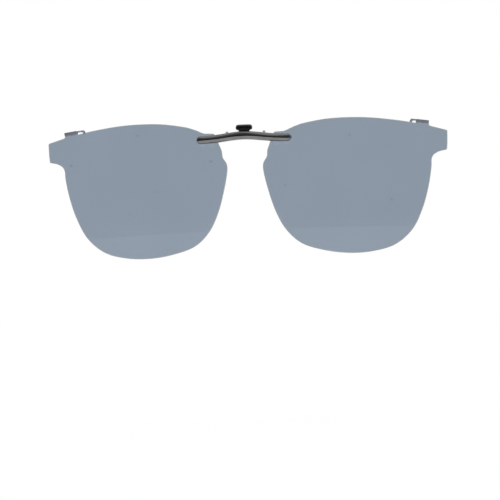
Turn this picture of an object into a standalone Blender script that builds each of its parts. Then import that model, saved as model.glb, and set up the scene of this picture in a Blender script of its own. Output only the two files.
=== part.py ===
"""Spring-bridge clip-on sunglasses, as separate pieces on two sprung slides.

Frame: X to the right as seen from in front, Y backwards to the wearer's face, Z up.
The origin is the middle of the spring housing's rear face, on the plane of symmetry.
Lengths are in millimetres; MM turns them into Blender's metres when a mesh is made.
"""
import math

import bmesh
import bpy
from mathutils import Matrix, Vector

MM = 0.001
GAP = 0.05                # space left between pieces that rest on each other
RUNNING = 0.04            # radial clearance of a rod or screw in its hole

# Lenses: u is the distance from the plane of symmetry
LENS_THICK = 1.0
LENS_Y = -2.1             # front surface at the nasal tab
LENS_RADIUS = 300.0       # spherical front, a nearly flat lens
LENS_WRAP = math.radians(4.5)
LENS_U0 = 10.5            # nasal end of the top tab
LENS_UC = 37.0            # optical centre
LENS_ZC = -18.0
LENS_CELL = 6.0           # mesh cell over the curved surface

# Front bar
BAR_HALF = 17.0
BAR_END_Z = -0.46         # level that the centre line settles to at the ends
BAR_RISE = 1.31           # hump of the centre line in the middle
BAR_HUMP = 9.0            # half width of that hump
BAR_HEIGHT_MID = 3.0
BAR_HEIGHT_END = 2.7
BAR_DEPTH = 1.7
BAR_BACK = -2.7
BAR_END_ROUND = 1.25

# Spring housing: two bores, one above the other
HOUSING_HALF = 5.1
HOUSING_DEPTH = 1.4
HOUSING_HEIGHT = 2.1
HOUSING_Z = 0.45
CAP_THICK = 0.5
BORE_PITCH = 1.0
BORE_R = 0.42
ROD_R = 0.26
ROD_HEAD_R = 0.38
ROD_HEAD_LENGTH = 0.5
ROD_HEAD_PLAY = 0.1       # the closed head stops this far inside the housing
SPRING_R = 0.34           # mean radius of the coil
SPRING_WIRE_R = 0.05
SPRING_TURNS = 14
STANDOFF_X = 3.2          # posts that join the bar to the housing
STANDOFF_R = 0.7

# Lens brackets
BRACKET_IN = 6.2
BRACKET_BLOCK = 1.4       # length of the block that takes the rod
BLOCK_DEPTH = 1.2
BLOCK_HEIGHT = 2.0
BRACKET_OUT = 16.2
BRACKET_HEIGHT = 1.5
BRACKET_FRONT = -0.85
BRACKET_THICK = 0.5
SCREW_U = (12.2, 15.0)
SCREW_R = 0.35
SCREW_HOLE_R = 0.42
SCREW_HEAD_R = 0.65
SCREW_HEAD_THICK = 0.3
WASHER_R = 0.72
NUT_R = 0.74
NUT_THICK = 0.28

# Hooks that hold the glasses' frame
WIRE_R = 0.35
SLEEVE_R = 0.5
SLEEVE_BORE_R = 0.4
SADDLE_LENGTH = 4.6
SADDLE_WALL = 0.25
SADDLE_FRONT = 1.0
SADDLE_REAR = 0.95
SADDLE_SLACK = 0.08       # between the channel and the lens
SLEEVE_END = 0.3          # sleeve's solid end past the wire
TAB_NASAL = (61.45, 4.02)   # top corners of the lens's temporal tab
TAB_TEMPORAL = (65.85, 3.36)

# Finger knob over the bar
KNOB_Y = -1.1
KNOB_BOTTOM = 1.95
KNOB_TOP = 4.64
KNOB_HALF_WIDTH = 3.0
KNOB_HALF_DEPTH = 2.1
NECK_HALF_WIDTH = 1.95
NECK_HALF_DEPTH = 1.35
STEM_R = 0.5
STEM_FOOT_R = 0.75
STEM_FOOT_HEIGHT = 0.3
STEM_TOP = 3.75


def clear_scene():
    for item in list(bpy.data.objects):
        bpy.data.objects.remove(item, do_unlink=True)


def material(name, colour, metallic, roughness, alpha=1.0):
    mat = bpy.data.materials.new(name)
    mat.use_nodes = True
    shader = mat.node_tree.nodes["Principled BSDF"]
    shader.inputs["Base Color"].default_value = (*colour, 1.0)
    shader.inputs["Metallic"].default_value = metallic
    shader.inputs["Roughness"].default_value = roughness
    shader.inputs["Alpha"].default_value = alpha
    mat.diffuse_color = (*colour, alpha)
    return mat


# ---------------------------------------------------------------- shapes

def circle(radius, sides):
    step = 2.0 * math.pi / sides
    return [(radius * math.cos(step * (i + 0.5)), radius * math.sin(step * (i + 0.5)))
            for i in range(sides)]


def rounded_rectangle(half_width, half_height, radius, corner_steps=3):
    points = []
    for quarter, (sx, sy) in enumerate(((1, 1), (-1, 1), (-1, -1), (1, -1))):
        cx = sx * (half_width - radius)
        cy = sy * (half_height - radius)
        for i in range(corner_steps + 1):
            angle = math.pi / 2 * (quarter + i / corner_steps)
            points.append((cx + radius * math.cos(angle), cy + radius * math.sin(angle)))
    return points


def smooth_run(points, steps):
    """Catmull-Rom curve through points, ends included."""
    pts = [Vector(p) for p in points]
    pts = [2 * pts[0] - pts[1]] + pts + [2 * pts[-1] - pts[-2]]
    run = []
    for a, b, c, d in zip(pts, pts[1:], pts[2:], pts[3:]):
        for i in range(steps):
            t = i / steps
            run.append(0.5 * (2 * b + (c - a) * t + (2 * a - 5 * b + 4 * c - d) * t * t
                              + (3 * b - a - 3 * c + d) * t ** 3))
    run.append(pts[-2])
    return run


def loft(rings):
    """Closed solid through rings of points, with flat ends."""
    bm = bmesh.new()
    rows = [[bm.verts.new(p) for p in ring] for ring in rings]
    count = len(rows[0])
    for low, high in zip(rows, rows[1:]):
        for i in range(count):
            j = (i + 1) % count
            bm.faces.new((low[i], low[j], high[j], high[i]))
    bm.faces.new(rows[0])
    bm.faces.new(rows[-1])
    return bm


def prism_y(outline, y0, y1):
    """Outline in X and Z, drawn out along Y."""
    return loft([[(x, y, z) for x, z in outline] for y in (y0, y1)])


def prism_x(outline, x0, x1):
    """Outline in Y and Z, drawn out along X."""
    return loft([[(x, y, z) for y, z in outline] for x in (x0, x1)])


def turned_x(profile, y, z, sides):
    """Profile of (x, radius) stations turned about a line along X."""
    return loft([[(x, y + a, z + b) for a, b in circle(r, sides)] for x, r in profile])


def turned_y(profile, x, z, sides):
    return loft([[(x + a, y, z + b) for a, b in circle(r, sides)] for y, r in profile])


def turned_z(profile, x, y, sides):
    return loft([[(x + a, y + b, z) for a, b in circle(r, sides)] for z, r in profile])


def path_frames(path):
    """Points with two side vectors carried along a path without twist."""
    frames = []
    side = None
    for i, point in enumerate(path):
        ahead = path[min(i + 1, len(path) - 1)]
        behind = path[max(i - 1, 0)]
        along = (ahead - behind).normalized()
        if side is None:
            side = along.orthogonal().normalized()
        side = (side - along * side.dot(along)).normalized()
        frames.append((point, side, along.cross(side)))
    return frames


def swept_rings(frames, radius, sides):
    return [[point + side * a + up * b for a, b in circle(radius, sides)]
            for point, side, up in frames]


def wire(path, radius, sides):
    """Round wire along a path, with domed ends."""
    frames = path_frames(path)
    rings = swept_rings(frames, radius, sides)
    for end, ring in ((0, rings[0]), (-1, rings[-1])):
        point = frames[end][0]
        inward = (path[1] - path[0]) if end == 0 else (path[-2] - path[-1])
        tip = [point + (p - point) * 0.6 - inward.normalized() * radius * 0.4 for p in ring]
        if end == 0:
            rings.insert(0, tip)
        else:
            rings.append(tip)
    return loft(rings)


def sleeve(path, start, radius, bore, sides):
    """Soft sleeve over a wire from path[start] on, closed past the wire's end."""
    frames = path_frames(path)[start:]
    inner = swept_rings(frames, bore, sides)
    outer = swept_rings(frames, radius, sides)
    along = (path[-1] - path[-2]).normalized()
    inner.append([p + along * (WIRE_R * 0.4 + GAP) for p in inner[-1]])
    end = path[-1] + along * SLEEVE_END
    shoulder = [p + along * SLEEVE_END for p in outer[-1]]
    tip = [end + (p - end) * 0.6 + along * SLEEVE_END / 2 for p in shoulder]
    return loft(inner[::-1] + outer + [shoulder, tip])


# ---------------------------------------------------------------- objects

def add_object(name, bm, mat, parent=None, mirrored=False, smooth=True):
    if mirrored:
        bmesh.ops.scale(bm, vec=(-1, 1, 1), verts=bm.verts)
    bmesh.ops.scale(bm, vec=(MM, MM, MM), verts=bm.verts)
    bmesh.ops.recalc_face_normals(bm, faces=bm.faces)
    mesh = bpy.data.meshes.new(name)
    bm.to_mesh(mesh)
    bm.free()
    if smooth:
        mesh.shade_smooth()
        mesh.set_sharp_from_angle(angle=math.radians(35))
    item = bpy.data.objects.new(name, mesh)
    item.data.materials.append(mat)
    bpy.context.scene.collection.objects.link(item)
    if parent:
        mesh.transform(Matrix.Translation(-parent.location))
        item.parent = parent
    return item


def add_empty(name, place):
    item = bpy.data.objects.new(name, None)
    item.location = Vector(place) * MM
    bpy.context.scene.collection.objects.link(item)
    return item


def cut(item, bm, mirrored=False, operation="DIFFERENCE"):
    """Boolean with a helper solid that shares the item's parent."""
    index = len(item.modifiers) + 1
    tool = add_object(f"{item.name}_tool_{index}", bm, item.data.materials[0],
                      item.parent, mirrored, smooth=False)
    tool.hide_render = True
    tool.display_type = "WIRE"
    modifier = item.modifiers.new(f"shape_{index}", "BOOLEAN")
    modifier.operation = operation
    modifier.solver = "EXACT"
    modifier.object = tool


# ---------------------------------------------------------------- lens

def lens_front(u, z):
    """Y of the lens's front surface, a tilted sphere."""
    bulge = (u - LENS_UC) ** 2 - (LENS_U0 - LENS_UC) ** 2 + (z - LENS_ZC) ** 2 - LENS_ZC ** 2
    return LENS_Y + math.tan(LENS_WRAP) * (u - LENS_U0) + bulge / (2.0 * LENS_RADIUS)


def lens_outline():
    """Outline of the right lens as (u, z), clockwise from the nasal tab."""
    brow = [(14.4, 1.9), (15.6, 2.35), (17.0, 3.0), (19.0, 3.75), (22.0, 4.57), (29.5, 5.7),
            (37.5, 5.95), (45.5, 5.53), (54.5, 4.29), (61.4, 2.95)]
    lug = [(65.95, 1.83), (71.95, 0.05), (72.3, -0.25), (72.2, -4.4), (72.0, -6.75)]
    edge = [(71.7, -7.05), (69.5, -7.45), (68.0, -8.1), (67.0, -8.95), (66.45, -10.4),
            (66.25, -13.4), (65.1, -19.6), (62.85, -27.1), (58.98, -34.66), (52.65, -40.0),
            (44.5, -42.2), (36.0, -42.5), (27.5, -41.25), (19.45, -38.55), (13.9, -33.4),
            (10.35, -26.6), (7.85, -18.4), (6.55, -12.2), (6.6, -9.3), (7.95, -6.9),
            (8.25, -4.6), (9.2, -2.1), (10.6, 1.3)]
    outline = [Vector((11.0, 1.75))]
    outline += smooth_run(brow, 4)
    outline += [Vector(TAB_NASAL), Vector(TAB_TEMPORAL)]
    outline += [Vector(p) for p in lug]
    outline += smooth_run(edge, 4)
    return outline


def lens_solid():
    bm = bmesh.new()
    bm.faces.new([bm.verts.new((u, 0.0, z)) for u, z in lens_outline()])
    for axis, low, high in ((0, 6.0, 73.0), (2, -43.0, 7.0)):
        for i in range(1, int((high - low) / LENS_CELL) + 1):
            place = [0.0, 0.0, 0.0]
            normal = [0.0, 0.0, 0.0]
            place[axis] = low + i * LENS_CELL
            normal[axis] = 1.0
            bmesh.ops.bisect_plane(bm, geom=bm.verts[:] + bm.edges[:] + bm.faces[:],
                                   plane_co=place, plane_no=normal)
    extruded = bmesh.ops.extrude_face_region(bm, geom=bm.faces[:])
    back = {v for v in extruded["geom"] if isinstance(v, bmesh.types.BMVert)}
    for vert in bm.verts:
        thick = LENS_THICK if vert in back else 0.0
        vert.co.y = lens_front(vert.co.x, vert.co.z) + thick
    return bm


def bar_line_z(x):
    """Height of the bar's centre line, a smooth hump between straight ends."""
    return BAR_END_Z + BAR_RISE * math.exp(-(x / BAR_HUMP) ** 2)


def add_lens(side, mirrored, parent, mat):
    lens = add_object(f"{side}_lens", lens_solid(), mat, parent, mirrored)
    for u in SCREW_U:
        hole = turned_y([(LENS_Y - 1.0, SCREW_HOLE_R), (LENS_Y + 2.0, SCREW_HOLE_R)],
                        u, bar_line_z(u), 16)
        cut(lens, hole, mirrored)


# ---------------------------------------------------------------- bridge

def bar_solid():
    """Arched bar, flat behind and domed in front, its ends rounded."""
    rings = []
    steps = 28
    for i in range(steps + 1):
        x = -BAR_HALF * math.cos(math.pi * i / steps)
        inset = max(0.0, abs(x) - (BAR_HALF - BAR_END_ROUND)) / BAR_END_ROUND
        shrink = math.sqrt(max(0.02, 1.0 - inset ** 2))
        middle = 1.0 - (x / BAR_HALF) ** 2
        half = 0.5 * shrink * (BAR_HEIGHT_END + (BAR_HEIGHT_MID - BAR_HEIGHT_END) * middle)
        depth = BAR_DEPTH * (0.35 + 0.65 * shrink)
        ring = [(x, BAR_BACK, bar_line_z(x) + half), (x, BAR_BACK, bar_line_z(x) - half)]
        for j in range(11):
            angle = math.pi * j / 10
            front = 0.25 + 0.75 * math.sin(angle) ** 0.9
            ring.append((x, BAR_BACK - depth * front, bar_line_z(x) - half * math.cos(angle)))
        rings.append(ring)
    return loft(rings)


def add_housing(parent, metal):
    block = rounded_rectangle(HOUSING_DEPTH / 2, HOUSING_HEIGHT / 2, 0.25)
    block = [(y - HOUSING_DEPTH / 2, z + HOUSING_Z) for y, z in block]
    housing = add_object("spring_housing", prism_x(block, -HOUSING_HALF, HOUSING_HALF),
                         metal, parent)
    for sign in (1, -1):
        bore = turned_x([(-HOUSING_HALF - 1, BORE_R), (HOUSING_HALF + 1, BORE_R)],
                        -HOUSING_DEPTH / 2, HOUSING_Z + sign * BORE_PITCH / 2, 16)
        cut(housing, bore)
    for side, sign in (("left", -1), ("right", 1)):
        inner = sign * (HOUSING_HALF + GAP)
        outer = sign * (HOUSING_HALF + GAP + CAP_THICK)
        cap = add_object(f"{side}_end_cap", prism_x(block, inner, outer), metal, parent)
        hole = turned_x([(inner - sign, ROD_R + RUNNING), (outer + sign, ROD_R + RUNNING)],
                        -HOUSING_DEPTH / 2, rod_z(sign), 12)
        cut(cap, hole)


def add_bridge(parent, mats):
    add_object("bridge_bar", bar_solid(), mats["gunmetal"], parent)
    add_housing(parent, mats["gunmetal"])
    for side, x in (("left", -STANDOFF_X), ("right", STANDOFF_X)):
        post = turned_y([(BAR_BACK + GAP, STANDOFF_R), (-HOUSING_DEPTH - GAP, STANDOFF_R)],
                        x, HOUSING_Z, 14)
        add_object(f"{side}_standoff", post, mats["steel"], parent)
    add_knob(parent, mats)


def add_knob(parent, mats):
    """Rubber mushroom with an oblong cap, on a short post."""
    top = HOUSING_Z + HOUSING_HEIGHT / 2 + GAP
    foot_top = top + STEM_FOOT_HEIGHT
    stem = turned_z([(top, STEM_FOOT_R), (foot_top, STEM_FOOT_R), (foot_top, STEM_R),
                     (STEM_TOP - 0.15, STEM_R), (STEM_TOP, STEM_R * 0.7)],
                    0.0, -HOUSING_DEPTH / 2, 14)
    add_object("grip_stem", stem, mats["steel"], parent)
    sections = [(KNOB_BOTTOM, 0.0, 0.9), (KNOB_BOTTOM + 0.1, 0.0, 1.0), (2.4, 0.0, 1.0),
                (2.62, 0.3, 1.0), (3.0, 0.85, 1.0), (3.3, 1.0, 1.0), (4.0, 1.0, 1.0),
                (4.3, 0.94, 1.0), (4.52, 0.82, 1.0), (KNOB_TOP, 0.55, 1.0)]
    rings = []
    for z, spread, scale in sections:
        width = NECK_HALF_WIDTH + (KNOB_HALF_WIDTH - NECK_HALF_WIDTH) * spread
        depth = NECK_HALF_DEPTH + (KNOB_HALF_DEPTH - NECK_HALF_DEPTH) * spread
        rings.append([(width * scale * a, KNOB_Y + depth * scale * b, z)
                      for a, b in circle(1.0, 28)])
    knob = add_object("grip_knob", loft(rings), mats["rubber"], parent)
    recess = foot_top + GAP
    socket = turned_z([(KNOB_BOTTOM - 1, STEM_FOOT_R + GAP), (recess, STEM_FOOT_R + GAP),
                       (recess, STEM_R + GAP), (STEM_TOP + 2 * GAP, STEM_R + GAP)],
                      0.0, -HOUSING_DEPTH / 2, 14)
    cut(knob, socket)


# ---------------------------------------------------------------- slides

def rod_z(sign):
    """The right-hand rod runs in the upper bore, the left-hand one in the lower."""
    return HOUSING_Z + sign * BORE_PITCH / 2


def add_rod(side, sign, parent, mat):
    head = -(HOUSING_HALF - ROD_HEAD_PLAY)
    rod = turned_x([(head, ROD_HEAD_R), (head + ROD_HEAD_LENGTH, ROD_HEAD_R),
                    (head + ROD_HEAD_LENGTH, ROD_R), (BRACKET_IN + BRACKET_BLOCK, ROD_R)],
                   -HOUSING_DEPTH / 2, rod_z(sign), 12)
    add_object(f"{side}_slide_rod", rod, mat, parent, sign < 0)


def add_spring(side, sign, parent, mat):
    """Coil round the rod, between the rod's head and the far end cap."""
    start = -(HOUSING_HALF - ROD_HEAD_PLAY) + ROD_HEAD_LENGTH + SPRING_WIRE_R + GAP
    length = HOUSING_HALF - SPRING_WIRE_R - GAP - start
    steps = SPRING_TURNS * 10
    path = []
    for i in range(steps + 1):
        angle = 2.0 * math.pi * SPRING_TURNS * i / steps
        path.append(Vector((start + length * i / steps,
                            -HOUSING_DEPTH / 2 + SPRING_R * math.cos(angle),
                            rod_z(sign) + SPRING_R * math.sin(angle))))
    rings = swept_rings(path_frames(path), SPRING_WIRE_R, 4)
    add_object(f"{side}_spring", loft(rings), mat, parent, sign < 0)


def bracket_outline():
    """Front view of the strip, concentric with the bar."""
    xs = [BRACKET_IN + (BRACKET_OUT - BRACKET_IN) * i / 6 for i in range(7)]
    half = BRACKET_HEIGHT / 2
    top = [(x, bar_line_z(x) + half) for x in xs]
    low = [(x, bar_line_z(x) - half) for x in xs]
    tip = [(BRACKET_OUT + half * math.sin(a), bar_line_z(BRACKET_OUT) + half * math.cos(a))
           for a in (math.pi * i / 6 for i in range(1, 6))]
    return top + tip + low[::-1]


def add_bracket(side, sign, parent, mat):
    mirrored = sign < 0
    plate = prism_y(bracket_outline(), BRACKET_FRONT, BRACKET_FRONT + BRACKET_THICK)
    bracket = add_object(f"{side}_lens_bracket", plate, mat, parent, mirrored)
    block = rounded_rectangle(BLOCK_DEPTH / 2, BLOCK_HEIGHT / 2, 0.2)
    block = [(y - HOUSING_DEPTH / 2, z + HOUSING_Z) for y, z in block]
    cut(bracket, prism_x(block, BRACKET_IN - 0.2, BRACKET_IN + BRACKET_BLOCK), mirrored, "UNION")
    socket = turned_x([(BRACKET_IN - 1, ROD_R + RUNNING),
                       (BRACKET_IN + BRACKET_BLOCK + 1, ROD_R + RUNNING)],
                      -HOUSING_DEPTH / 2, rod_z(sign), 12)
    cut(bracket, socket, mirrored)
    for u in SCREW_U:
        hole = turned_y([(BRACKET_FRONT - 1, SCREW_HOLE_R), (BRACKET_FRONT + 2, SCREW_HOLE_R)],
                        u, bar_line_z(u), 16)
        cut(bracket, hole, mirrored)


def ring_y(outer, inner, y0, y1, x, z):
    """Washer or nut: a ring between two outlines of the same point count."""
    rings = []
    for outline, y in ((inner, y0), (outer, y0), (outer, y1), (inner, y1)):
        rings.append([(x + a, y, z + b) for a, b in outline])
    bm = bmesh.new()
    rows = [[bm.verts.new(p) for p in ring] for ring in rings]
    count = len(inner)
    for k in range(4):
        low, high = rows[k], rows[(k + 1) % 4]
        for i in range(count):
            j = (i + 1) % count
            bm.faces.new((low[i], low[j], high[j], high[i]))
    return bm


def hexagon(radius):
    """Twelve points of a hexagon, so that it pairs with a bore of twelve sides."""
    points = []
    for a, b in circle(1.0, 12):
        sector = math.radians(60) * round(math.degrees(math.atan2(b, a)) / 60)
        reach = a * math.cos(sector) + b * math.sin(sector)
        flat = radius * math.cos(math.radians(30)) / reach
        points.append((a * flat, b * flat))
    return points


def add_lens_fasteners(side, mirrored, parent, mats):
    """Two screws from the front, each with a washer behind the lens and a nut."""
    for place, u in zip(("inner", "outer"), SCREW_U):
        z = bar_line_z(u)
        front = lens_front(u, z) - GAP
        back = BRACKET_FRONT + BRACKET_THICK + GAP
        screw = turned_y([(front - SCREW_HEAD_THICK, SCREW_HEAD_R * 0.8),
                          (front - SCREW_HEAD_THICK * 0.6, SCREW_HEAD_R),
                          (front, SCREW_HEAD_R), (front, SCREW_R),
                          (back + NUT_THICK + 0.02, SCREW_R)], u, z, 16)
        washer_front = lens_front(u, z) + LENS_THICK + GAP
        washer = ring_y(circle(WASHER_R, 16), circle(SCREW_HOLE_R, 16),
                        washer_front, BRACKET_FRONT - GAP, u, z)
        nut = ring_y(hexagon(NUT_R), circle(SCREW_R + RUNNING, 12), back, back + NUT_THICK, u, z)
        name = f"{side}_{place}"
        add_object(f"{name}_screw", screw, mats["steel"], parent, mirrored)
        add_object(f"{name}_washer", washer, mats["nylon"], parent, mirrored)
        add_object(f"{name}_nut", nut, mats["steel"], parent, mirrored)


def add_nasal_hook(side, mirrored, parent, mats):
    """Wire from the bracket's rear face, over the glasses' bridge and down behind it."""
    rear = BRACKET_FRONT + BRACKET_THICK + GAP + WIRE_R
    route = [(10.4, rear, 0.45), (8.9, rear, 0.6), (8.1, rear + 0.12, 0.72),
             (7.3, rear + 0.42, 0.95), (6.78, 0.95, 1.45), (6.7, 1.8, 1.8), (6.7, 2.8, 1.65),
             (6.7, 3.6, 1.0), (6.7, 3.8, 0.1), (6.7, 3.8, -0.7)]
    path = smooth_run(route, 3)
    add_object(f"{side}_nasal_hook", wire(path, WIRE_R, 8), mats["steel"], parent, mirrored)
    add_object(f"{side}_nasal_sleeve", sleeve(path, 13, SLEEVE_R, SLEEVE_BORE_R, 12),
               mats["silicone"], parent, mirrored)


def tab_frame():
    """Axes of the lens's temporal tab: along its top, backwards, up; and its middle."""
    ends = []
    for u, z in (TAB_NASAL, TAB_TEMPORAL):
        ends.append(Vector((u, lens_front(u, z) + LENS_THICK / 2, z)))
    along = (ends[1] - ends[0]).normalized()
    middle = (ends[0] + ends[1]) / 2
    u, z = middle.x, middle.z
    down = Vector((0.0, lens_front(u, z - 1) - lens_front(u, z), -1.0)).normalized()
    back = along.cross(-down).normalized()
    if back.y < 0:
        back = -back
    up = along.cross(back).normalized()
    if up.z < 0:
        up = -up
    return middle, along, back, up


def saddle_outline():
    """Channel section over the lens's edge, as (backwards, up)."""
    half = LENS_THICK / 2 + SADDLE_SLACK
    out = half + SADDLE_WALL
    top = SADDLE_SLACK + SADDLE_WALL
    bend = 0.25
    arc = [math.pi / 2 * i / 3 for i in range(4)]
    rear_bend = [(out - bend + bend * math.cos(a), top - bend + bend * math.sin(a)) for a in arc]
    front_bend = [(-y, z) for y, z in rear_bend[::-1]]
    rear_leg = [(half, SADDLE_SLACK), (half, -SADDLE_REAR), (out, -SADDLE_REAR)]
    front_leg = [(-out, -SADDLE_FRONT), (-half, -SADDLE_FRONT), (-half, SADDLE_SLACK)]
    return rear_leg + rear_bend + front_bend + front_leg


def add_temporal_hook(side, mirrored, parent, mats):
    """Saddle on the lens's tab with an arm that hooks over the glasses' frame."""
    middle, along, back, up = tab_frame()

    def place(s, n, t):
        return middle + along * s + back * n + up * t

    half = SADDLE_LENGTH / 2
    outline = saddle_outline()
    saddle = loft([[place(s, n, t) for n, t in outline] for s in (-half, half)])
    hook = add_object(f"{side}_temporal_hook", saddle, mats["gunmetal"], parent, mirrored)
    route = [(-1.0, 0.96, -0.4), (-1.6, 1.05, -0.12), (-2.3, 1.5, 0.0), (-3.0, 2.3, 0.03),
             (-3.55, 2.95, -0.02), (-3.8, 3.25, -0.25), (-3.85, 3.3, -0.6)]
    path = smooth_run([place(*p) for p in route], 3)
    cut(hook, wire(path, WIRE_R, 8), mirrored, "UNION")
    add_object(f"{side}_temporal_sleeve", sleeve(path, 10, SLEEVE_R, SLEEVE_BORE_R, 12),
               mats["silicone"], parent, mirrored)


def add_side(side, sign, bridge, mats):
    """Everything that moves outwards with one lens."""
    mirrored = sign < 0
    slide = add_empty(f"{side}_slide", (sign * BRACKET_IN, -HOUSING_DEPTH / 2, rod_z(sign)))
    add_rod(side, sign, slide, mats["steel"])
    add_spring(side, sign, bridge, mats["steel"])
    add_bracket(side, sign, slide, mats["gunmetal"])
    add_lens(side, mirrored, slide, mats["tinted"])
    add_lens_fasteners(side, mirrored, slide, mats)
    add_nasal_hook(side, mirrored, slide, mats)
    add_temporal_hook(side, mirrored, slide, mats)


def build():
    clear_scene()
    mats = {
        "gunmetal": material("gunmetal", (0.20, 0.20, 0.21), 1.0, 0.22),
        "steel": material("steel", (0.55, 0.55, 0.56), 1.0, 0.3),
        "rubber": material("rubber", (0.012, 0.012, 0.013), 0.0, 0.45),
        "silicone": material("silicone", (0.78, 0.84, 0.90), 0.0, 0.25, 0.45),
        "nylon": material("nylon", (0.80, 0.80, 0.78), 0.0, 0.5),
        "tinted": material("tinted_lens", (0.20, 0.24, 0.29), 0.0, 0.08, 0.55),
    }
    bridge = add_empty("bridge", (0.0, 0.0, 0.0))
    add_bridge(bridge, mats)
    for side, sign in (("left", -1), ("right", 1)):
        add_side(side, sign, bridge, mats)


build()
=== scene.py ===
"""Spring-bridge clip-on sunglasses: the finished surfaces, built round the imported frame.

Lengths are in millimetres in the frame's own axes: X to the right as seen from in front,
Y backwards, Z up. MM turns them into Blender's metres when a mesh is made.
"""
import math

import bmesh
import bpy
from mathutils import Matrix, Vector
from mathutils.geometry import delaunay_2d_cdt


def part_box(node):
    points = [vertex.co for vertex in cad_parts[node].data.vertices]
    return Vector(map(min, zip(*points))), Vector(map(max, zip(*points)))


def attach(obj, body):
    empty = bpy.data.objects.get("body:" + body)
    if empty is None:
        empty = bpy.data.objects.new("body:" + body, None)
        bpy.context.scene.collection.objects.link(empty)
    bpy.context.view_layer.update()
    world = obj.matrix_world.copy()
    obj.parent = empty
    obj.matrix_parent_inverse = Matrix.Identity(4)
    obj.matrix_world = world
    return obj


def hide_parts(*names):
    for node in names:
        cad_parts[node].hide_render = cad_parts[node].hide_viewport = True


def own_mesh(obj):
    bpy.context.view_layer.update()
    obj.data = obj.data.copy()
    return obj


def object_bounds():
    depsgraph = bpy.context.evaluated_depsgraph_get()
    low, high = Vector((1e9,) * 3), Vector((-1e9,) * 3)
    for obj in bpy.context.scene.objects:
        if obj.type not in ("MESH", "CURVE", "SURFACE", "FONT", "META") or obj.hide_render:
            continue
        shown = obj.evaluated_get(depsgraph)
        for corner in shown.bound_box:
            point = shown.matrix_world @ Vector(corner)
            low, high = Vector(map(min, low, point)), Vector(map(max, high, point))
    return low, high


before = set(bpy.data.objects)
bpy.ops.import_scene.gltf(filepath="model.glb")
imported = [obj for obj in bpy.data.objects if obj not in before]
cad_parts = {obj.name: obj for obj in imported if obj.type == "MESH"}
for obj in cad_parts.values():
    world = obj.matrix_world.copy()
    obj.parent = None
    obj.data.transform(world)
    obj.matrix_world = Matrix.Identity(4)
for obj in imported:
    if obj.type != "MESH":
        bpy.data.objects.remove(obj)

MM = 0.001
CAD_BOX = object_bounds()


def box(node):
    """Lowest and highest corner of a CAD node, in millimetres."""
    low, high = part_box(node)
    return low / MM, high / MM


BAR_LOW, BAR_HIGH = box("bridge_bar")
HOUSING_LOW, HOUSING_HIGH = box("spring_housing")
KNOB_LOW, KNOB_HIGH = box("grip_knob")
STEM_LOW, STEM_HIGH = box("grip_stem")
ROD_LOW, ROD_HIGH = box("right_slide_rod")

# Lenses: u is the distance from the plane of symmetry
LENS_THICK = 1.0
LENS_Y = -2.1
LENS_RADIUS = 300.0
LENS_WRAP = math.radians(4.5)
LENS_U0 = 10.5
LENS_UC = 37.0
LENS_ZC = -18.0
LENS_GRID = 1.7           # pitch of the points inside the outline
LENS_ROUND = 0.22         # rounding of the polished rim
CORNER_ROUND = 0.75       # fillet at the corners of the outline
SCREW_U = (12.2, 15.0)
SCREW_HOLE_R = 0.42
TAB_NASAL = (61.45, 4.02)
TAB_TEMPORAL = (65.85, 3.36)

# Bar: a smooth hump between straight ends
BAR_HALF = (BAR_HIGH.x - BAR_LOW.x) / 2
BAR_END_Z = -0.46
BAR_RISE = 1.31
BAR_HUMP = 9.0
BAR_HEIGHT_MID = 3.0
BAR_HEIGHT_END = 2.7
BAR_DEPTH = BAR_HIGH.y - BAR_LOW.y
BAR_END_ROUND = 1.25
BAR_FULLNESS = 1.5        # exponent of the front's curve, higher for a sharper ridge
BAR_FLATTER = 0.7         # taken off the exponent in the middle and at the ends
BAR_FLAT_MIDDLE = 4.5     # how far those flatter stretches reach
BAR_FLAT_END = 4.0

HOUSING_MID_Z = (HOUSING_LOW.z + HOUSING_HIGH.z) / 2
BORE_PITCH = 1.0
BORE_R = 0.42
ROD_Y = (HOUSING_LOW.y + HOUSING_HIGH.y) / 2
ROD_R = 0.26
ROD_HEAD_R = 0.38
ROD_HEAD_LENGTH = 0.5
RUNNING = 0.04            # radial clearance of a rod in its hole
CHAMFER = 0.06
SPRING_R = 0.34           # mean radius of the coil
SPRING_WIRE_R = 0.05
SPRING_TURNS = 14

# Knob and the post inside it
NECK_HALF_WIDTH = 1.95
NECK_HALF_DEPTH = 1.35
STEM_R = 0.5
STEM_FOOT_HEIGHT = 0.3
SOCKET_SLACK = 0.05       # between the post and the rubber

# Brackets and fasteners
BRACKET_IN = 6.2
BRACKET_BLOCK = 1.4
BRACKET_OUT = 16.2
BRACKET_HEIGHT = 1.5
BRACKET_FRONT = -0.85
BRACKET_THICK = 0.5
BLOCK_DEPTH = 1.2
BLOCK_HEIGHT = 2.0
SCREW_R = 0.35
SCREW_HEAD_THICK = 0.3
SCREW_SLOT_HALF = 0.09    # half width of the driver's slot
SCREW_SLOT_DEPTH = 0.15
WASHER_BORE_R = 0.43
NUT_BORE_R = 0.38

# Hooks
WIRE_R = 0.35
SLEEVE_R = 0.5
SLEEVE_BORE_R = 0.38
SLEEVE_END = 0.3
SADDLE_LENGTH = 4.6
SADDLE_WALL = 0.25
SADDLE_BEND = 0.25        # outer radius of the fold
SADDLE_SLACK = 0.08
SADDLE_FRONT = 1.0
SADDLE_REAR = 0.95
HOOK_GAP = 0.05           # between the nasal hook and its bracket
ROUTE_STEPS = 12          # path points for each stretch of a hook's route
TUBE_SIDES = 24
NASAL_SLEEVE_START = 52   # path point where the sleeve's mouth is
TEMPORAL_SLEEVE_START = 40


# ---------------------------------------------------------------- shapes

def circle(radius, sides):
    step = 2.0 * math.pi / sides
    return [(radius * math.cos(step * i), radius * math.sin(step * i)) for i in range(sides)]


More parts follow.
